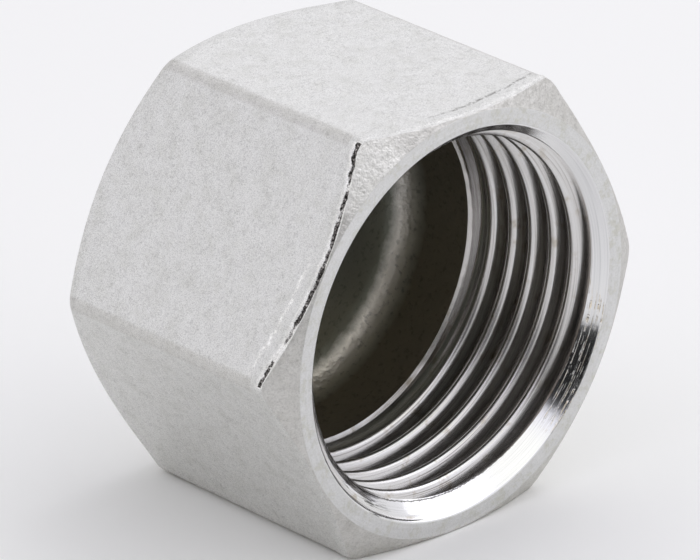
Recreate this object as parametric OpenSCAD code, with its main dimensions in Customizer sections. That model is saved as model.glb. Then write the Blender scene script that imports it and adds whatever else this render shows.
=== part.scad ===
// Hexagonal pipe cap: one investment casting, bored and threaded from its open end.
// It lies on one flat of the hexagon. The thread axis runs along Y and the mouth faces -Y.
// The origin is at the middle of the flat that the cap lies on, and +Z is up. Millimetres.

/* [Hexagon] */
// Width across two opposite flats, which is the spanner size
across_flats = 36.5; // [35.5:0.5:46]
// Length of the cap from its mouth to its closed end
body_length = 26; // [21.5:0.5:40]
// Radius of the rounded edges between neighbouring flats
edge_radius = 1.6; // [0.5:0.1:3]

/* [Corner chamfers] */
// How far inside the flats the round mouth face ends
mouth_face_inset = 0.1; // [0.05:0.05:0.5]
// Slope of the corner chamfers at the mouth, in degrees from the mouth face
mouth_chamfer_slope = 30.5; // [20:0.5:40]
// How far inside the flats the round closed face ends
closed_face_inset = 0.5; // [0.1:0.1:1.5]
// Slope of the corner chamfers at the closed end, in degrees from the closed face
closed_chamfer_slope = 32; // [20:0.5:40]

/* [Thread] */
// Major diameter of the internal thread, at the roots
thread_major_d = 33.249; // [33.0:0.001:33.4]
// Minor diameter of the internal thread, at the crests
thread_minor_d = 30.291; // [30.2:0.001:30.9]
// Axial distance from one thread groove to the next
thread_pitch = 2.309; // [1.6:0.001:2.4]
// Angle between the two flanks of a thread groove, in degrees
thread_flank_angle = 55; // [55:1:60]
// Number of whole thread grooves
thread_grooves = 5; // [2:1:5]
// Length of plain bore beyond the last groove
thread_runout = 1.0; // [0.5:0.1:1.5]

/* [Countersink] */
// Diameter of the countersink at the mouth
countersink_d = 33.6; // [33.5:0.1:34.5]
// Angle between the two sides of the countersink, in degrees
countersink_angle = 90; // [80:1:100]

/* [Cavity] */
// Diameter of the cast cavity where the threaded bore ends
cavity_mouth_d = 29.8; // [26:0.1:29.8]
// Diameter of the cast cavity next to its floor
cavity_floor_d = 29.4; // [24:0.1:29.6]
// Radius of the rounded edge between the cavity's wall and floor
cavity_fillet = 2.2; // [0.5:0.1:3]
// Thickness of the closed end
end_wall = 3.8; // [2.5:0.1:5]

/* [Hidden] */
$fn = 96;
FLATS = 6;
// Extra length that carries a cut past the surface it opens through
CUT = 1;

flat_r = across_flats / 2;
corner_r = flat_r / cos(180 / FLATS);
mouth_face_r = flat_r - mouth_face_inset;
closed_face_r = flat_r - closed_face_inset;

crest_r = thread_minor_d / 2;
root_r = thread_major_d / 2;
flank_run = (root_r - crest_r) * tan(thread_flank_angle / 2);
root_flat = thread_pitch / 2 - flank_run;
groove_width = root_flat + 2 * flank_run;

countersink_r = countersink_d / 2;
countersink_slope = tan(countersink_angle / 2);
countersink_depth = (countersink_r - crest_r) / countersink_slope;
last_groove_end = countersink_depth + thread_grooves * thread_pitch;
bore_depth = last_groove_end + thread_runout;

cavity_depth = body_length - end_wall;
cavity_mouth_r = cavity_mouth_d / 2;
cavity_floor_r = cavity_floor_d / 2;

// Hexagon with a flat on each side of the y axis and its six corners rounded by true arcs
module rounded_hexagon() {
    arc_r = (flat_r - edge_radius) / cos(180 / FLATS);
    half_corner = 180 / FLATS;
    tangents = [for (k = [0 : FLATS - 1], side = [-1, 1])
        arc_r * [cos(k * 360 / FLATS), sin(k * 360 / FLATS)]
        + edge_radius * [cos(k * 360 / FLATS + side * half_corner), sin(k * 360 / FLATS + side * half_corner)]];
    polygon(tangents);
    for (k = [0 : FLATS - 1])
        rotate(k * 360 / FLATS)
            translate([arc_r, 0])
                circle(r = edge_radius);
}

// Outline that turns both ends of the hexagon into a round face with sloping corners
module turned_outline() {
    mouth_drop = (corner_r - mouth_face_r) * tan(mouth_chamfer_slope);
    closed_drop = (corner_r - closed_face_r) * tan(closed_chamfer_slope);
    rotate_extrude()
        polygon([
            [0, 0],
            [mouth_face_r, 0],
            [corner_r, mouth_drop],
            [corner_r, body_length - closed_drop],
            [closed_face_r, body_length],
            [0, body_length]
        ]);
}

// Half section of the countersink, which opens at depth 0
module countersink_section() {
    polygon([
        [0, -CUT],
        [countersink_r + CUT * countersink_slope, -CUT],
        [crest_r, countersink_depth],
        [0, countersink_depth]
    ]);
}

// Half section of one thread groove, centred at the given depth
module groove_section(depth) {
    translate([0, depth])
        polygon([
            [0, -groove_width / 2],
            [crest_r, -groove_width / 2],
            [root_r, -root_flat / 2],
            [root_r, root_flat / 2],
            [crest_r, groove_width / 2],
            [0, groove_width / 2]
        ]);
}

// Half section of the threaded bore: plain cylinder at the crests, with a ring groove at each pitch
module bore_section() {
    square([crest_r, bore_depth]);
    for (i = [0 : thread_grooves - 1])
        groove_section(countersink_depth + (i + 0.5) * thread_pitch);
}

// Half section of the cast cavity: a drafted wall, a rounded edge and a flat floor
module cavity_section() {
    fillet_top = cavity_depth - cavity_fillet;
    polygon([[0, 0], [cavity_mouth_r, 0], [cavity_mouth_r, bore_depth], [cavity_floor_r, fillet_top], [0, fillet_top]]);
    square([cavity_floor_r - cavity_fillet, cavity_depth]);
    translate([cavity_floor_r - cavity_fillet, fillet_top])
        circle(r = cavity_fillet);
}

// The whole casting, lying on a flat with its mouth towards -Y
module cap_body() {
    color("gainsboro")
        translate([0, -body_length / 2, flat_r])
            rotate([-90, 0, 0])
                difference() {
                    intersection() {
                        linear_extrude(body_length)
                            rounded_hexagon();
                        turned_outline();
                    }
                    rotate_extrude() {
                        countersink_section();
                        bore_section();
                        cavity_section();
                    }
                }
}

cap_body();
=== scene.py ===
"""Studio scene of a cast stainless pipe cap with a right-hand internal pipe thread.

The casting is one closed mesh: a stack of rows round the thread axis. The rows run from the middle of the
closed end over the hexagon to the mouth, and down the thread to the middle of the cavity's floor. Lengths are
in millimetres until the mesh is written, and depth is measured from the mouth along the axis.
"""
import math

import bmesh
import bpy
import numpy as np
from mathutils import Matrix, Vector, noise


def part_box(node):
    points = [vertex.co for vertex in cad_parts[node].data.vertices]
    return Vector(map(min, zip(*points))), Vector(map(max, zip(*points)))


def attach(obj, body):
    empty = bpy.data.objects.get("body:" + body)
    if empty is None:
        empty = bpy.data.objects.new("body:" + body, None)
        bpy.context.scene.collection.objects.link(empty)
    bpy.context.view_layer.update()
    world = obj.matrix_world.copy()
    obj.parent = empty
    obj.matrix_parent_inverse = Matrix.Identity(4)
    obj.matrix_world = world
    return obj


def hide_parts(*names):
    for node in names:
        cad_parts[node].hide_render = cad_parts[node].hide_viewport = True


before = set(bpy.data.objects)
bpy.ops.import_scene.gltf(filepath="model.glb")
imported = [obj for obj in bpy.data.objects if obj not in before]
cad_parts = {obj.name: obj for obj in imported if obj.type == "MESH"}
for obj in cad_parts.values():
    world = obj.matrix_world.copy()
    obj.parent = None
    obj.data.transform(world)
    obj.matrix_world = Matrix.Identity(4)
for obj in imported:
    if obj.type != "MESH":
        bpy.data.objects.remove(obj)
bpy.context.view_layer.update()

MM = 0.001

# ---------------------------------------------------------------- sizes, from the CAD node's box
low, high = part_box("cap_body")
CENTRE = (low + high) / 2   # in metres
ACROSS_FLATS = (high.z - low.z) / MM
LENGTH = (high.y - low.y) / MM
FLAT_R = ACROSS_FLATS / 2
AXIS_Z = (high.z + low.z) / 2 / MM
MOUTH_Y = low.y / MM

EDGE_R = 1.6                # rounded edges between the flats
MOUTH_FACE_R = FLAT_R - 0.1
MOUTH_SLOPE = math.tan(math.radians(30.5))
CLOSED_FACE_R = FLAT_R - 0.5
CLOSED_SLOPE = math.tan(math.radians(32))

PITCH = 2.309
CREST_R = 30.291 / 2
ROOT_R = 33.249 / 2
TOOTH_R = 0.317             # rounding of crests and roots
HALF_FLANK = math.radians(27.5)
FIRST_GROOVE = 0.6          # depth of the groove's middle on the -X side, inside the countersink
GROOVE_TURNS = 5.9          # turns from there to the last bit of groove
FADE_TURNS = 1.1            # turns over which the groove gets shallower at its end
START_LINE_DEPTH = 1.40     # of the line that the tool left round the start of the thread
BORE_DEPTH = 14.2

COUNTERSINK_R = 16.8        # at the mouth; the cone is at 45 degrees
CAVITY_MOUTH_R = 14.88
CAVITY_FLOOR_R = 14.7
CAVITY_DEPTH = LENGTH - 3.8
CAVITY_FILLET = 2.2

# ---------------------------------------------------------------- unevenness of the casting
SKIN_WAVE = 0.03
CLOSED_END_WAVE = 0.02
CLOSED_END_CROWN = 0.03     # how much lower the closed end's face is at its rim than in the middle
CLOSED_END_INSET = 0.03     # keeps the waves inside the CAD node's box
CHAMFER_WAVE = 0.05
CAVITY_WALL_WAVE = 0.04
CAVITY_FILLET_WAVE = 0.08
CAVITY_FLOOR_WAVE = 0.05
BORE_BURR = 0.05            # raggedness of the edge where the bore meets the cast cavity
SCAR_DEPTH = 0.10           # of the groove along the broken edge
SCAR_WANDER = 0.16
SCAR_ON_FLATS = (0.22, 1.0, 0.12, 0.3, 0.7, 0.4)    # strength by flat, from the top one towards -X

# ---------------------------------------------------------------- the grid
COLUMNS = 480
SEAM = math.pi              # the columns start on the -X side and run clockwise, seen from the mouth
CORNER_CROWDING = 0.5       # 0 spaces the columns evenly, and nearer 1 crowds them at the six corners
FLAT_ROWS = 25
FLAT_ROWS_START = 0.35      # distance of the first of them from the closed end's chamfer
FLAT_ROWS_END = 1.6         # distance of the last of them from the mouth's chamfer
ROWS_PER_PITCH = 14
THREAD_ROWS = 70            # rows that follow the helix for a whole turn
THREAD_START = BORE_DEPTH - PITCH * (1 + THREAD_ROWS / ROWS_PER_PITCH)

HALF_SIDE = math.pi / 6     # half of the angle that one side of the hexagon takes
turn = np.linspace(0.0, 1.0, COLUMNS + 1)
theta = SEAM - 2 * math.pi * turn
theta = theta - CORNER_CROWDING / 6 * np.sin(6 * theta)
turn = (SEAM - theta) / (2 * math.pi)
from_corner = np.abs((theta + HALF_SIDE) % (2 * HALF_SIDE) - HALF_SIDE)


def smooth(low_edge, high_edge, value):
    """0 below the low edge and 1 above the high edge, with a soft step between them."""
    t = np.clip((value - low_edge) / (high_edge - low_edge), 0.0, 1.0)
    return t * t * (3 - 2 * t)


def relief(r, depth, scale, seed, octaves=3):
    """Smooth noise from -1 to 1 at each point of a row; scale is the size of its lumps in mm."""
    out = np.empty(len(theta))
    r = np.broadcast_to(r, out.shape)
    depth = np.broadcast_to(depth, out.shape)
    for i, (a, b, d) in enumerate(zip(theta, r, depth)):
        p = Vector((b * math.cos(a), d, b * math.sin(a))) / scale + Vector((seed, 2 * seed, 3 * seed))
        out[i] = noise.fractal(p, 1.0, 2.0, octaves)
    return out


# ---------------------------------------------------------------- outlines
def hexagon_radius():
    """Radius of the rounded hexagon at every column."""
    centre = (FLAT_R - EDGE_R) / math.cos(HALF_SIDE)
    flat = FLAT_R / np.cos(HALF_SIDE - from_corner)
    tangent = math.atan2(EDGE_R * math.sin(HALF_SIDE), centre + EDGE_R * math.cos(HALF_SIDE))
    inside = np.minimum(from_corner, tangent)
    arc = centre * np.cos(inside) + np.sqrt(EDGE_R ** 2 - (centre * np.sin(inside)) ** 2)
    return np.where(from_corner < tangent, arc, flat)


def groove_profile(t):
    """Radius of the wall at a distance t from the middle of a full groove: root, flank, then crest."""
    flank = (CREST_R + ROOT_R) / 2 + (PITCH / 4 - t) / math.tan(HALF_FLANK)
    reach = TOOTH_R * math.cos(HALF_FLANK)
    root = ROOT_R - TOOTH_R + np.sqrt(np.maximum(TOOTH_R ** 2 - t ** 2, 0))
    to_crest = PITCH / 2 - t
    crest = CREST_R + TOOTH_R - np.sqrt(np.maximum(TOOTH_R ** 2 - to_crest ** 2, 0))
    return np.where(t < reach, root, np.where(to_crest < reach, crest, flank))


def thread_radius(depth):
    """Radius of the threaded wall at every column, at that column's depth."""
    turns = (depth - FIRST_GROOVE) / PITCH - turn
    nearest = np.round(turns)
    along = nearest + turn
    r = groove_profile(np.abs(turns - nearest) * PITCH)
    cut = 1 - smooth(GROOVE_TURNS - FADE_TURNS, GROOVE_TURNS, along)
    return CREST_R + (r - CREST_R) * cut


def bore_radius(depth):
    """The countersink's cone or the threaded wall, whichever is wider."""
    return np.maximum(COUNTERSINK_R - depth, thread_radius(depth))


# ---------------------------------------------------------------- rows
SKIN, SCAR, FACET, TURNED, SINK, THREAD, CAVITY = range(7)
rows = []                   # (radius, depth, material, scar); the material is that of the band before the row


def row(r, depth, material, scar=0.0):
    radius, depth, scar = (np.broadcast_to(v, theta.shape).astype(float) for v in (r, depth, scar))
    rows.append((radius, depth, material, scar))


hexagon = hexagon_radius()
mouth_drop = np.maximum(hexagon - MOUTH_FACE_R, 0) * MOUTH_SLOPE
closed_drop = np.maximum(hexagon - CLOSED_FACE_R, 0) * CLOSED_SLOPE


def closed_end():
    """The closed end's face, slightly uneven, and its chamfer out to the hexagon."""
    for share in (0.0, 0.12, 0.3, 0.5, 0.7, 0.85, 0.94):
        r = share * CLOSED_FACE_R
        wave = CLOSED_END_WAVE * relief(r, LENGTH, scale=5.0, seed=3)
        row(r, LENGTH - CLOSED_END_CROWN * share + wave - CLOSED_END_INSET, SKIN)
    for share in (0.0, 0.15, 0.4, 0.7, 0.9):
        row(CLOSED_FACE_R + share * (hexagon - CLOSED_FACE_R), LENGTH - 0.04 - share * closed_drop, SKIN)


def flats():
    """The six flats and the rounded edges between them, from the closed end's chamfer to the mouth's."""
    back = LENGTH - closed_drop - FLAT_ROWS_START
    front = mouth_drop + FLAT_ROWS_END
    for share in np.linspace(0, 1, FLAT_ROWS):
        depth = back + share * (front - back)
        lumps = SKIN_WAVE * relief(hexagon, depth, scale=4.0, seed=1) - SKIN_WAVE
        row(hexagon + lumps, depth, SKIN)


def scar_strength():
    """How deep the ragged line is at each column, by flat, a little fainter towards one end of each flat."""
    flat_angle = (np.degrees(theta) - 90) % 360
    flat = np.round(flat_angle / 60) % 6
    along_flat = (flat_angle + 30) % 60 / 60
    strength = np.array(SCAR_ON_FLATS)[flat.astype(int)] * (1 - 0.2 * smooth(0.6, 0.95, along_flat))
    return np.clip(strength * (0.85 + 0.4 * relief(FLAT_R, 0.0, scale=2.5, seed=41)), 0, 1)


def mouth_edge():
    """The broken edge where each flat meets its chamfer: a low burr, a ragged groove and a rounded lip."""
    ragged = relief(hexagon, mouth_drop, scale=0.7, seed=7)
    ragged_fine = relief(hexagon, mouth_drop, scale=0.35, seed=9)
    scar = scar_strength()
    burr = 0.05 * ragged_fine * scar
    groove = SCAR_DEPTH * scar * (0.8 + ragged_fine)
    wander = SCAR_WANDER * relief(hexagon, mouth_drop, scale=1.3, seed=13)
    row(hexagon - 0.03, mouth_drop + 1.30, SKIN)
    row(hexagon - 0.01 + 0.02 * ragged, mouth_drop + 0.90 + wander, SCAR, 0.1 * scar)
    row(hexagon + 0.03 + burr, mouth_drop + 0.62 + wander + 0.08 * ragged, SCAR, 0.45 * scar)
    row(hexagon - 0.02 - groove, mouth_drop + 0.42 + wander + 0.10 * ragged, SCAR, scar)
    row(hexagon - 0.04 - groove, mouth_drop + 0.22 + 0.6 * wander + 0.07 * ragged, SCAR, scar)
    row(hexagon - 0.06 + 0.03 * ragged, mouth_drop + 0.02, SCAR, 0.4 * scar)


def mouth_chamfer():
    """The chamfer at each corner, rough where it is wide enough to show it."""
    width = hexagon - MOUTH_FACE_R
    for share in (0.9, 0.7, 0.5, 0.25, 0.06):
        rough = CHAMFER_WAVE * relief(hexagon, 0.0, scale=1.2, seed=11 + share) * smooth(0.3, 1.5, width)
        row(MOUTH_FACE_R + share * width - 0.03 * share, share * mouth_drop + 0.02 + np.abs(rough), FACET)


def mouth_face():
    """The flat turned ring, with a small break at its outer and inner edge."""
    row(MOUTH_FACE_R, 0.015, FACET)
    row(MOUTH_FACE_R - 0.08, 0.0, TURNED)
    row((MOUTH_FACE_R + COUNTERSINK_R) / 2, 0.0, TURNED)
    row(COUNTERSINK_R + 0.07, 0.0, TURNED)
    row(COUNTERSINK_R + 0.01, 0.02, TURNED)


def countersink():
    """The cone from the mouth to where the thread's rows begin, with the start of the groove in it."""
    for share in np.linspace(0.2, 1, 5):
        depth = share * THREAD_START
        row(bore_radius(depth), depth, SINK)


def thread():
    """Rows that follow the helix, after a fan that opens from the countersink and before one that closes."""
    shift = PITCH * turn
    steps = [k / ROWS_PER_PITCH for k in range(1, ROWS_PER_PITCH + 1)]
    last = THREAD_START + PITCH * THREAD_ROWS / ROWS_PER_PITCH + shift
    opening = [THREAD_START + step * shift for step in steps]
    helical = [THREAD_START + PITCH * j / ROWS_PER_PITCH + shift for j in range(1, THREAD_ROWS + 1)]
    closing = [last + step * (BORE_DEPTH - last) for step in steps]
    for depth in opening + helical + closing:
        row(bore_radius(depth), depth, THREAD)


def cavity_rows():
    """The bore's ragged inner edge, then the cast wall, its rounded edge and the floor."""
    burr = relief(CREST_R, BORE_DEPTH, scale=1.8, seed=21, octaves=2)
    row(CREST_R - 0.05 + 0.04 * burr, BORE_DEPTH + 0.07 + BORE_BURR * burr, THREAD)
    row(CAVITY_MOUTH_R + 0.03 * burr, BORE_DEPTH + 0.20 + BORE_BURR * burr, THREAD)
    fillet_start = CAVITY_DEPTH - CAVITY_FILLET
    for share in np.linspace(0.08, 1, 9):
        depth = BORE_DEPTH + share * (fillet_start - BORE_DEPTH)
        r = CAVITY_MOUTH_R + share * (CAVITY_FLOOR_R - CAVITY_MOUTH_R)
        row(r + CAVITY_WALL_WAVE * relief(r, depth, scale=1.6, seed=23), depth, CAVITY)
    for angle in np.radians(np.linspace(10, 90, 9)):
        r = CAVITY_FLOOR_R - CAVITY_FILLET * (1 - math.cos(angle))
        depth = fillet_start + CAVITY_FILLET * math.sin(angle)
        row(r, depth - CAVITY_FILLET_WAVE * np.abs(relief(r, depth, scale=1.1, seed=29)), CAVITY)
    floor_r = CAVITY_FLOOR_R - CAVITY_FILLET
    for share in (0.92, 0.8, 0.65, 0.5, 0.33, 0.16, 0.0):
        r = share * floor_r
        wave = CAVITY_FLOOR_WAVE * np.abs(relief(r, CAVITY_DEPTH, scale=1.4, seed=31)) * min(1, 4 * share)
        row(r, CAVITY_DEPTH - wave, CAVITY)


for section in (closed_end, flats, mouth_edge, mouth_chamfer, mouth_face, countersink, thread, cavity_rows):
    section()


# ---------------------------------------------------------------- mesh
WORN_WITHIN, CLEAN_FROM = 0.2, 0.9      # distances along the hexagon from the middle of a rounded edge
SHARP_ANGLE = 38            # in degrees; edges sharper than this stay sharp
MERGE_DISTANCE = 1e-7       # in metres


def casting_mesh():
    """The rows joined by quads. What the thread's rows leave of the countersink's cone keeps its material."""
    radius = np.array([r for r, _, _, _ in rows])
    depth = np.array([d for _, d, _, _ in rows])
    x, y, z = radius * np.cos(theta), MOUTH_Y + depth, AXIS_Z + radius * np.sin(theta)
    points = np.stack([x, y, z], axis=-1) * MM
    on_cone = radius <= COUNTERSINK_R - depth + 1e-6
    columns = COLUMNS + 1
    faces, slots = [], []
    for j in range(len(rows) - 1):
        material = rows[j + 1][2]
        for i in range(COLUMNS):
            a = j * columns + i
            faces.append((a, a + 1, a + 1 + columns, a + columns))
            polished = material == THREAD and on_cone[j + 1, i] and on_cone[j + 1, i + 1]
            slots.append(SINK if polished else material)
    mesh = bpy.data.meshes.new("cap_casting")
    mesh.from_pydata(points.reshape(-1, 3).tolist(), [], faces)
    mesh.polygons.foreach_set("material_index", slots)
    outside = smooth(CLOSED_FACE_R - 1.5, CLOSED_FACE_R, radius)
    edge = (1 - smooth(WORN_WITHIN, CLEAN_FROM, from_corner * FLAT_R)) * outside
    scar = np.array([k for _, _, _, k in rows])
    for name, values in (("edge", edge), ("scar", scar)):
        mesh.attributes.new(name, "FLOAT", "POINT").data.foreach_set("value", values.ravel())
    return mesh


def weld(mesh):
    """Closes the seam, the thread's fans and the two centres, and turns every face outwards."""
    bm = bmesh.new()
    bm.from_mesh(mesh)
    bmesh.ops.remove_doubles(bm, verts=bm.verts, dist=MERGE_DISTANCE)
    bmesh.ops.dissolve_degenerate(bm, edges=bm.edges, dist=MERGE_DISTANCE / 10)
    bmesh.ops.recalc_face_normals(bm, faces=bm.faces)
    open_edges = sum(not e.is_manifold for e in bm.edges)
    print("casting: faces", len(bm.faces), "open edges", open_edges, "mm3", bm.calc_volume() / MM ** 3)
    bm.to_mesh(mesh)
    bm.free()
    for p in mesh.polygons:
        p.use_smooth = True
    mesh.set_sharp_from_angle(angle=math.radians(SHARP_ANGLE))


# ---------------------------------------------------------------- materials
class Metal:
    """A metal built from nodes on Object coordinates. Its methods take sizes in mm and angles in degrees."""

    def __init__(self, name, roughness):
        self.mat = bpy.data.materials.new(name)
        self.mat.use_nodes = True
        self.nodes, self.links = self.mat.node_tree.nodes, self.mat.node_tree.links
        self.shader = self.nodes["Principled BSDF"]
        self.shader.inputs["Metallic"].default_value = 1.0
        self.shader.inputs["Roughness"].default_value = roughness
        self.place = self.nodes.new("ShaderNodeTexCoord").outputs["Object"]

    def calc(self, operation, *values):
        node = self.nodes.new("ShaderNodeMath")
        node.operation = operation
        for socket, value in zip(node.inputs, values):
            if isinstance(value, (int, float)):
                socket.default_value = value
            else:
                self.links.new(value, socket)
        return node.outputs[0]

    def times(self, first, *others):
        for other in others:
            first = self.calc("MULTIPLY", first, other)
        return first

    def attribute(self, name):
        """A value that the mesh carries at each point."""
        node = self.nodes.new("ShaderNodeAttribute")
        node.attribute_name = name
        return node.outputs["Fac"]

    def lumps(self, size, detail=3, rough=0.6):
        """Noise from 0 to 1 with lumps of about the given size."""
        tex = self.nodes.new("ShaderNodeTexNoise")
        tex.inputs["Scale"].default_value = 1 / (size * MM)
        tex.inputs["Detail"].default_value = detail
        tex.inputs["Roughness"].default_value = rough
        self.links.new(self.place, tex.inputs["Vector"])
        return tex.outputs["Fac"]

    def wobble(self, size, width, detail=3, rough=0.6):
        """The same noise round 0, at most width wide."""
        return self.times(self.calc("SUBTRACT", self.lumps(size, detail, rough), 0.5), width)

    def round_axis(self):
        """x, z and r from the thread axis, and y, all in metres."""
        split = self.nodes.new("ShaderNodeSeparateXYZ")
        self.links.new(self.place, split.inputs[0])
        x = split.outputs["X"]
        z = self.calc("SUBTRACT", split.outputs["Z"], AXIS_Z * MM)
        r = self.calc("SQRT", self.calc("ADD", self.times(x, x), self.times(z, z)))
        return x, z, r, split.outputs["Y"]

    def brush(self, amount):
        """Stretches the highlights across the tool marks, which run round the thread axis."""
        tangent = self.nodes.new("ShaderNodeTangent")
        tangent.direction_type = "RADIAL"
        tangent.axis = "Y"
        self.links.new(tangent.outputs["Tangent"], self.shader.inputs["Tangent"])
        self.shader.inputs["Anisotropic"].default_value = amount

    def band(self, value, middle, half_width):
        """1 where value is at the middle, falling to 0 at half_width from it, all in value's own units."""
        off = self.calc("ABSOLUTE", self.calc("SUBTRACT", value, middle))
        return self.calc("MAXIMUM", self.calc("SUBTRACT", 1.0, self.calc("DIVIDE", off, half_width)), 0.0)

    def sector(self, angle, width):
        """1 in the inner two thirds of a sector of that half width round the thread axis, and 0 outside it."""
        x, z, _, _ = self.round_axis()
        seen = self.calc("ARCTAN2", z, x)
        off = self.calc("WRAP", self.calc("SUBTRACT", seen, math.radians(angle)), math.pi, -math.pi)
        off = self.calc("DIVIDE", self.calc("ABSOLUTE", off), math.radians(width))
        share = self.times(self.calc("SUBTRACT", 1.0, off), 3.0)
        return self.calc("MINIMUM", self.calc("MAXIMUM", share, 0.0), 1.0)

    def behind_edge(self):
        """Distance in mm behind the edge between a flat and its chamfer at the mouth."""
        _, _, r, y = self.round_axis()
        drop = self.times(self.calc("SUBTRACT", r, MOUTH_FACE_R * MM), MOUTH_SLOPE)
        return self.calc("DIVIDE", self.calc("SUBTRACT", self.calc("SUBTRACT", y, MOUTH_Y * MM), drop), MM)

    def start_line(self):
        """The ragged line that the tool left round the start of the thread."""
        _, _, _, y = self.round_axis()
        ragged = self.calc("ADD", y, self.wobble(0.5, 0.25 * MM, 4, 0.7))
        return self.band(ragged, (MOUTH_Y + START_LINE_DEPTH) * MM, 0.07 * MM)

    def turning(self, gap, drift):
        """Noise in fine rings round the thread axis; drift is how fast they change on their way round."""
        x, z, r, y = self.round_axis()
        across = self.times(self.calc("SUBTRACT", r, y), 1 / (gap * MM))
        join = self.nodes.new("ShaderNodeCombineXYZ")
        self.links.new(self.times(self.calc("DIVIDE", x, r), drift), join.inputs["X"])
        self.links.new(self.times(self.calc("DIVIDE", z, r), drift), join.inputs["Z"])
        self.links.new(across, join.inputs["Y"])
        tex = self.nodes.new("ShaderNodeTexNoise")
        tex.inputs["Scale"].default_value = 1.0
        tex.inputs["Detail"].default_value = 4
        self.links.new(join.outputs[0], tex.inputs["Vector"])
        return tex.outputs["Fac"]

    def ramp(self, factor, *stops):
        """Colours by factor; stops are (position, (r, g, b))."""
        node = self.nodes.new("ShaderNodeValToRGB")
        elements = node.color_ramp.elements
        while len(elements) < len(stops):
            elements.new(0.5)
        for element, (position, colour) in zip(elements, stops):
            element.position = position
            element.color = (*colour, 1)
        self.links.new(factor, node.inputs["Fac"])
        return node.outputs["Color"]

    def mix(self, factor, a, b, blend="MIX"):
        node = self.nodes.new("ShaderNodeMix")
        node.data_type = "RGBA"
        node.blend_type = blend
        for socket, value in ((node.inputs["Factor"], factor), (node.inputs["A"], a), (node.inputs["B"], b)):
            if isinstance(value, (int, float)):
                socket.default_value = value
            elif isinstance(value, tuple):
                socket.default_value = (*value, 1)
            else:
                self.links.new(value, socket)
        return node.outputs["Result"]

    def shade(self, colour, *shades, share=1.0):
        """The colour multiplied by each of the shades."""
        for shade in shades:
            colour = self.mix(share, colour, shade, "MULTIPLY")
        return colour

    def finish(self, colour, *heights):
        """heights are (factor, depth) pairs for the bump."""
        self.links.new(colour, self.shader.inputs["Base Color"])
        normal = None
        for height, depth in heights:
            bump = self.nodes.new("ShaderNodeBump")
            bump.inputs["Strength"].default_value = 1.0
            bump.inputs["Distance"].default_value = depth * MM
            self.links.new(height, bump.inputs["Height"])
            if normal:
                self.links.new(normal, bump.inputs["Normal"])
            normal = bump.outputs["Normal"]
        self.links.new(normal, self.shader.inputs["Normal"])
        return self.mat


def grey(value, warmth=0.0):
    return (value * (1 + warmth), value, value * (1 - warmth))


BLACK, WHITE = grey(0.0), grey(1.0)
BLASTED = grey(0.735, 0.004)            # the clean cast skin
PAINTED_LIP_HIGHLIGHT = grey(0.97, 0.01)         # painted highlight along the scar's raised lip
LINE_DARK = grey(0.05, 0.1)


def sandy(m, light, grain=0.09, contrast=0.25):
    """Colour of blasted metal: a slow drift, a sandy grain, darker blotches and fine cracks."""
    drift = m.ramp(m.lumps(1.6, 6, 0.7), (0.34, (0.93, 0.93, 0.895)), (0.5, (1.0, 1.0, 0.975)),
                   (0.7, (1.03, 1.03, 1.01)))
    sand = m.ramp(m.lumps(grain, 2, 0.5), (0.30, grey(1 - contrast)), (0.50, WHITE),
                  (0.72, grey(1 + contrast / 2)))
    blotch = m.ramp(m.lumps(0.45, 4, 0.7), (0.32, grey(0.86)), (0.46, WHITE))
    where = m.ramp(m.lumps(1.3, 3), (0.42, BLACK), (0.6, grey(0.9)))
    cracks = m.times(m.band(m.lumps(0.75, 4, 0.65), 0.5, 0.014), where)
    colour = m.mix(cracks, m.shade(drift, sand, blotch), grey(0.62, 0.02))
    return m.shade(colour, light)


def cast_skin():
    """The flats and the closed end, with a painted highlight streak and dashes of painted shade behind the
    edge at the mouth.
    """
    m = Metal("cast_skin", 0.5)
    worn = m.calc("ADD", m.attribute("edge"), m.wobble(0.8, 0.7, 4))
    light = m.ramp(worn, (0.35, BLASTED), (0.75, grey(0.665, 0.012)))
    behind = m.calc("ADD", m.behind_edge(), m.wobble(1.5, 0.9))
    broken = m.ramp(m.lumps(0.35, 4, 0.7), (0.42, BLACK), (0.55, WHITE))
    # painted highlight: a broken light streak on the -X flat behind the edge
    painted_highlight_streak = m.times(m.band(behind, 1.9, 0.24), m.sector(163, 16), broken)
    # painted shade: broken dark dashes on the top flat behind the edge, standing for shaded pits
    painted_shade_dashes = m.times(m.band(behind, 1.5, 0.22), m.sector(80, 22), broken)
    light = m.mix(painted_highlight_streak, light, grey(1.0, 0.01))
    light = m.mix(painted_shade_dashes, light, grey(0.25, 0.03))
    return m.finish(sandy(m, light), (m.lumps(0.10, 2), 0.03), (m.lumps(0.5, 3), 0.06),
                    (m.lumps(2.5, 2), 0.08))


def scarred_edge():
    """The broken edge: painted shade in the groove, a painted highlight along its lips, and sandy away from
    it.
    """
    m = Metal("scarred_edge", 0.5)
    ragged = m.times(m.attribute("scar"), m.calc("ADD", m.wobble(0.9, 2.4, 6, 0.85), 1.0))
    # painted highlight: lighter towards the lip and brightest on it
    light = m.ramp(ragged, (0.12, BLASTED), (0.40, grey(0.90, 0.01)), (0.62, PAINTED_LIP_HIGHLIGHT))
    # painted shade: near-black speckles in the groove of the broken edge
    dark = m.ramp(m.lumps(0.20, 4, 0.8), (0.50, grey(0.015, 0.1)), (0.66, grey(0.50, 0.06)))
    groove = m.ramp(ragged, (0.62, BLACK), (0.78, WHITE))
    return m.finish(m.mix(groove, sandy(m, light), dark), (m.lumps(0.14, 3), 0.06), (m.lumps(0.5, 2), 0.05))


def cast_facet():
    """The chamfers at the mouth, coarser than the skin, with a painted highlight at the upper -X corner."""
    m = Metal("cast_facet", 0.48)
    light = m.ramp(m.lumps(1.2, 4), (0.3, grey(0.58, 0.018)), (0.7, grey(0.66, 0.014)))
    # painted highlight at the upper -X corner, where the flats and the chamfer meet
    light = m.mix(m.sector(124, 13), light, grey(0.78, 0.01))
    return m.finish(sandy(m, light, 0.14, 0.12), (m.lumps(0.25, 3), 0.06), (m.lumps(0.8, 2), 0.12))


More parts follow.
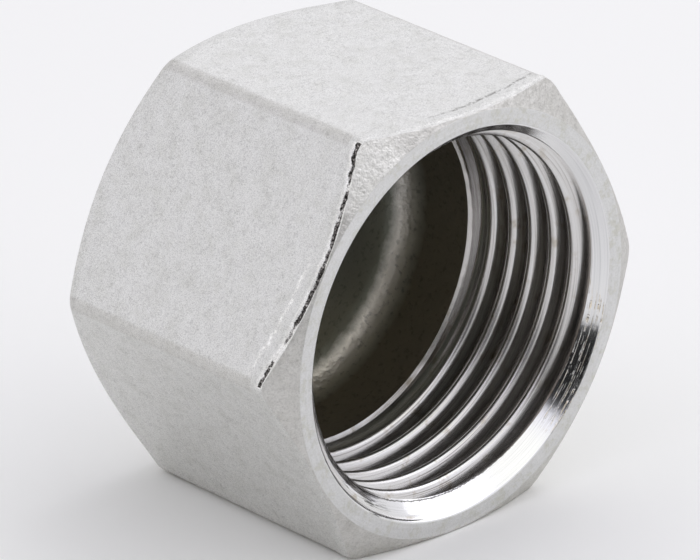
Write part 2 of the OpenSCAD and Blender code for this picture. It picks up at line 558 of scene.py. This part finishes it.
def turned_face():
    """The mouth's face: faint rings under a blasted grain."""
    m = Metal("turned_face", 0.45)
    rings = m.turning(0.25, 2.0)
    colour = m.ramp(rings, (0.3, (0.71, 0.71, 0.70)), (0.7, (0.76, 0.76, 0.755)))
    blotch = m.ramp(m.lumps(0.9, 5, 0.7), (0.36, (0.90, 0.895, 0.84)), (0.50, WHITE), (0.70, grey(1.03)))
    sand = m.ramp(m.lumps(0.12, 3), (0.3, grey(0.88)), (0.6, WHITE))
    return m.finish(m.shade(colour, blotch, sand), (rings, 0.003), (m.lumps(0.25, 3), 0.018))


def turned_countersink():
    """Polished rings, dark lines at the top and lower left that are partly tool marks and partly a painted
    dark reflection, and a nicked patch at the lower right.
    """
    m = Metal("turned_countersink", 0.13)
    rings = m.turning(0.16, 1.6)
    colour = m.ramp(rings, (0.25, grey(0.66)), (0.45, grey(0.77)), (0.7, grey(0.81)))
    # dark lines at the top and lower left: partly tool marks, partly a painted dark reflection
    lines = m.ramp(m.turning(0.30, 6.0), (0.47, WHITE), (0.50, grey(0.12)), (0.55, grey(0.12)), (0.58, WHITE))
    tool_marks_and_dark_reflection = m.calc("MAXIMUM", m.sector(97, 14), m.sector(215, 30))
    colour = m.mix(m.times(tool_marks_and_dark_reflection, 0.9), colour, m.shade(colour, lines))
    nicks = m.ramp(m.turning(0.17, 3.5), (0.53, BLACK), (0.58, WHITE))
    patches = m.ramp(m.lumps(0.7, 2), (0.45, grey(0.15)), (0.55, WHITE))
    nicked = m.times(m.sector(-28, 24), nicks, patches)
    colour = m.mix(nicked, colour, (0.80, 0.72, 0.58))
    colour = m.mix(m.start_line(), colour, LINE_DARK)
    return m.finish(colour, (rings, 0.003), (m.lumps(1.2, 2), 0.006), (nicked, 0.02))


def cut_thread():
    """Bright cut metal with light stains, and on the +X side darker crests and dark groove roots, partly dirt
    and partly painted shade.
    """
    m = Metal("cut_thread", 0.24)
    m.brush(0.8)
    rings = m.turning(0.22, 1.4)
    colour = m.ramp(rings, (0.30, grey(0.42, 0.04)), (0.45, grey(0.68, 0.02)), (0.75, grey(0.80)))
    stain = m.ramp(m.lumps(1.5, 3), (0.30, (0.62, 0.55, 0.43)), (0.42, WHITE))
    _, _, r, _ = m.round_axis()
    into_groove = m.calc("DIVIDE", m.calc("SUBTRACT", r, CREST_R * MM), (ROOT_R - CREST_R) * MM)
    # darker crests and dark roots: partly dirt, partly painted shade in the grooves
    dirt_and_painted_shade = m.ramp(into_groove, (0.0, grey(0.80, 0.02)), (0.15, WHITE), (0.55, WHITE), (1.0, grey(0.22, 0.14)))
    colour = m.shade(colour, stain, share=0.6)
    colour = m.mix(m.sector(-22, 62), colour, m.shade(colour, dirt_and_painted_shade))
    return m.finish(m.mix(m.start_line(), colour, LINE_DARK), (rings, 0.004))


def cavity():
    """Cast inside: a dark wall, a painted highlight on the rounded edge and a dark green-grey floor, with
    painted light that makes all of them lighter low down.
    """
    m = Metal("cast_cavity", 0.5)
    _, z, _, y = m.round_axis()
    edge = 3.2              # how far before the floor the wall starts to get lighter, into the painted highlight on the rounded edge
    share = m.times(m.calc("SUBTRACT", y, (MOUTH_Y + CAVITY_DEPTH - edge) * MM), 1 / (edge * MM))
    uneven = m.calc("ADD", share, m.wobble(1.0, 0.16, 4))
    # the light band between 0.45 and 0.78 is a painted highlight on the rounded edge
    colour = m.ramp(uneven, (0.0, (0.30, 0.265, 0.21)), (0.22, (0.50, 0.48, 0.44)),
                    (0.45, (0.82, 0.80, 0.75)), (0.78, (0.85, 0.83, 0.78)), (0.94, (0.21, 0.22, 0.19)))
    spots = m.ramp(m.lumps(0.5, 3), (0.3, grey(0.7)), (0.45, WHITE))
    height = m.calc("ADD", m.calc("DIVIDE", z, 2 * CAVITY_MOUTH_R * MM), 0.5)
    # painted light: lighter low down and darker high up
    painted_light_low_down = m.ramp(height, (0.02, (0.95, 0.92, 0.85)), (0.22, (1.10, 1.07, 1.0)), (0.55, grey(0.92)),
                     (0.9, grey(0.72)))
    return m.finish(m.shade(colour, painted_light_low_down, spots), (m.lumps(0.3, 3), 0.05), (m.lumps(1.0, 2), 0.12))


# ---------------------------------------------------------------- the piece
mesh = casting_mesh()
weld(mesh)
for make_metal in (cast_skin, scarred_edge, cast_facet, turned_face, turned_countersink, cut_thread, cavity):
    mesh.materials.append(make_metal())
cap = bpy.data.objects.new("cap_casting", mesh)
bpy.context.scene.collection.objects.link(cap)
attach(cap, "root")
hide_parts("cap_body")

# ---------------------------------------------------------------- floor, world and lamp
FLOOR_RADIUS = 3.0          # in metres
FLOOR_SIDES = 96
FLOOR_BOUNCE = (0.60, 0.60, 0.60)
FLOOR_SEEN = (1.0, 1.0, 0.975)
SKY_ON_FLOOR = 0.78         # the sky's strength as light on the floor; it is seen and reflected at 1
HORIZON = (0.80, 0.80, 0.785)
OVERHEAD = (1.16, 1.15, 1.27)
PATCHES = (                 # (azimuth, elevation, radius, blur, colour) of round patches in the surroundings
    (135, 40, 25, 20, (1.10, 1.10, 1.15)),
    (-172, 50, 19, 10, (0.70, 0.70, 0.67)),
    (5, 50, 16, 7, (1.28, 1.28, 1.26)),
    (-36, 17, 20, 3, (0.02, 0.02, 0.02)),
    (-3, 8, 11, 5, (0.06, 0.06, 0.05)),
    (-66, 26, 12, 5, (0.12, 0.12, 0.11)),
)
KEY_AZIMUTH, KEY_ELEVATION = 75, 50
KEY_POWER = 1.2             # in watts
KEY_SIZE = 0.9              # this and the distance in metres
KEY_DISTANCE = 0.8


def toward(azimuth, elevation):
    """Direction from the object; azimuth 0 is -Y and -90 is -X, in degrees."""
    a, e = math.radians(azimuth), math.radians(elevation)
    return Vector((math.sin(a) * math.cos(e), -math.cos(a) * math.cos(e), math.sin(e)))


def background_share(nodes, links):
    """1 for camera, glossy and transmission rays, and 0 for the rays that light surfaces."""
    path = nodes.new("ShaderNodeLightPath")
    total = path.outputs["Is Camera Ray"]
    for name in ("Is Glossy Ray", "Is Transmission Ray"):
        add = nodes.new("ShaderNodeMath")
        add.operation = "MAXIMUM"
        links.new(total, add.inputs[0])
        links.new(path.outputs[name], add.inputs[1])
        total = add.outputs[0]
    return total


def make_floor():
    mesh = bpy.data.meshes.new("floor")
    angles = [2 * math.pi * k / FLOOR_SIDES for k in range(FLOOR_SIDES)]
    rim = [(FLOOR_RADIUS * math.cos(a), FLOOR_RADIUS * math.sin(a), 0) for a in angles]
    mesh.from_pydata(rim, [], [tuple(range(FLOOR_SIDES))])
    floor = bpy.data.objects.new("floor", mesh)
    bpy.context.scene.collection.objects.link(floor)
    mat = bpy.data.materials.new("floor")
    mat.use_nodes = True
    nodes, links = mat.node_tree.nodes, mat.node_tree.links
    nodes.clear()
    out = nodes.new("ShaderNodeOutputMaterial")
    paint = nodes.new("ShaderNodeBsdfDiffuse")
    shade = nodes.new("ShaderNodeMix")
    shade.data_type = "RGBA"
    shade.inputs["A"].default_value = (*FLOOR_BOUNCE, 1)
    shade.inputs["B"].default_value = (*FLOOR_SEEN, 1)
    links.new(background_share(nodes, links), shade.inputs["Factor"])
    links.new(shade.outputs["Result"], paint.inputs["Color"])
    links.new(paint.outputs[0], out.inputs["Surface"])
    mesh.materials.append(mat)


def make_world():
    """A soft studio: brightest overhead, with light and dark patches for the polished metal to show."""
    world = bpy.data.worlds.new("studio")
    bpy.context.scene.world = world
    world.use_nodes = True
    nodes, links = world.node_tree.nodes, world.node_tree.links
    sky = nodes["Background"]
    direction = nodes.new("ShaderNodeTexCoord").outputs["Generated"]

    def disc(centre, radius, blur):
        """1 inside a round patch of the surroundings, and 0 outside it."""
        dot = nodes.new("ShaderNodeVectorMath")
        dot.operation = "DOT_PRODUCT"
        links.new(direction, dot.inputs[0])
        dot.inputs[1].default_value = centre
        edge = nodes.new("ShaderNodeMapRange")
        edge.interpolation_type = "SMOOTHSTEP"
        edge.inputs["From Min"].default_value = math.cos(math.radians(radius + blur))
        edge.inputs["From Max"].default_value = math.cos(math.radians(radius - blur))
        links.new(dot.outputs["Value"], edge.inputs["Value"])
        return edge.outputs["Result"]

    def paint(under, mask, colour):
        mix = nodes.new("ShaderNodeMix")
        mix.data_type = "RGBA"
        links.new(mask, mix.inputs["Factor"])
        links.new(under, mix.inputs["A"])
        mix.inputs["B"].default_value = (*colour, 1)
        return mix.outputs["Result"]

    split = nodes.new("ShaderNodeSeparateXYZ")
    links.new(direction, split.inputs[0])
    ramp = nodes.new("ShaderNodeValToRGB")
    for element, position, colour in zip(ramp.color_ramp.elements, (0.0, 0.75), (HORIZON, OVERHEAD)):
        element.position = position
        element.color = (*colour, 1)
    links.new(split.outputs["Z"], ramp.inputs["Fac"])
    seen = ramp.outputs["Color"]
    for azimuth, elevation, radius, blur, colour in PATCHES:
        seen = paint(seen, disc(toward(azimuth, elevation), radius, blur), colour)
    links.new(seen, sky.inputs["Color"])
    strength = nodes.new("ShaderNodeMapRange")
    strength.inputs["To Min"].default_value = SKY_ON_FLOOR
    strength.inputs["To Max"].default_value = 1.0
    links.new(background_share(nodes, links), strength.inputs["Value"])
    links.new(strength.outputs["Result"], sky.inputs["Strength"])


def make_key_lamp():
    """A large soft lamp above the object's +X side."""
    light = bpy.data.lights.new("key", "AREA")
    light.shape = "DISK"
    light.size = KEY_SIZE
    light.energy = KEY_POWER
    lamp = bpy.data.objects.new("key", light)
    bpy.context.scene.collection.objects.link(lamp)
    away = toward(KEY_AZIMUTH, KEY_ELEVATION)
    lamp.location = CENTRE + away * KEY_DISTANCE
    lamp.rotation_mode = "QUATERNION"
    lamp.rotation_quaternion = away.to_track_quat("Z", "Y")


make_floor()
make_world()
make_key_lamp()

# ---------------------------------------------------------------- camera
CAMERA_AZIMUTH, CAMERA_ELEVATION, CAMERA_ROLL = -44.78, 23.92, 1.49
CAMERA_DISTANCE = 590.0
CAMERA_AIM = Vector((2.97, 3.03, -2.31))            # from the middle of the cap
LENS = 371.0
SENSOR_WIDTH = 36


def make_camera():
    back = toward(CAMERA_AZIMUTH, CAMERA_ELEVATION)
    place = CENTRE + CAMERA_AIM * MM + back * CAMERA_DISTANCE * MM
    data = bpy.data.cameras.new("camera")
    data.sensor_width = SENSOR_WIDTH
    data.lens = LENS
    data.clip_start, data.clip_end = 0.05, 20
    camera = bpy.data.objects.new("camera", data)
    bpy.context.scene.collection.objects.link(camera)
    upright = (-back).to_track_quat("-Z", "Y").to_matrix()
    tilt = Matrix.Rotation(math.radians(CAMERA_ROLL), 3, "Z")
    camera.matrix_world = Matrix.Translation(place) @ (upright @ tilt).to_4x4()
    bpy.context.scene.camera = camera


make_camera()
bpy.context.scene.view_settings.view_transform = "Standard"
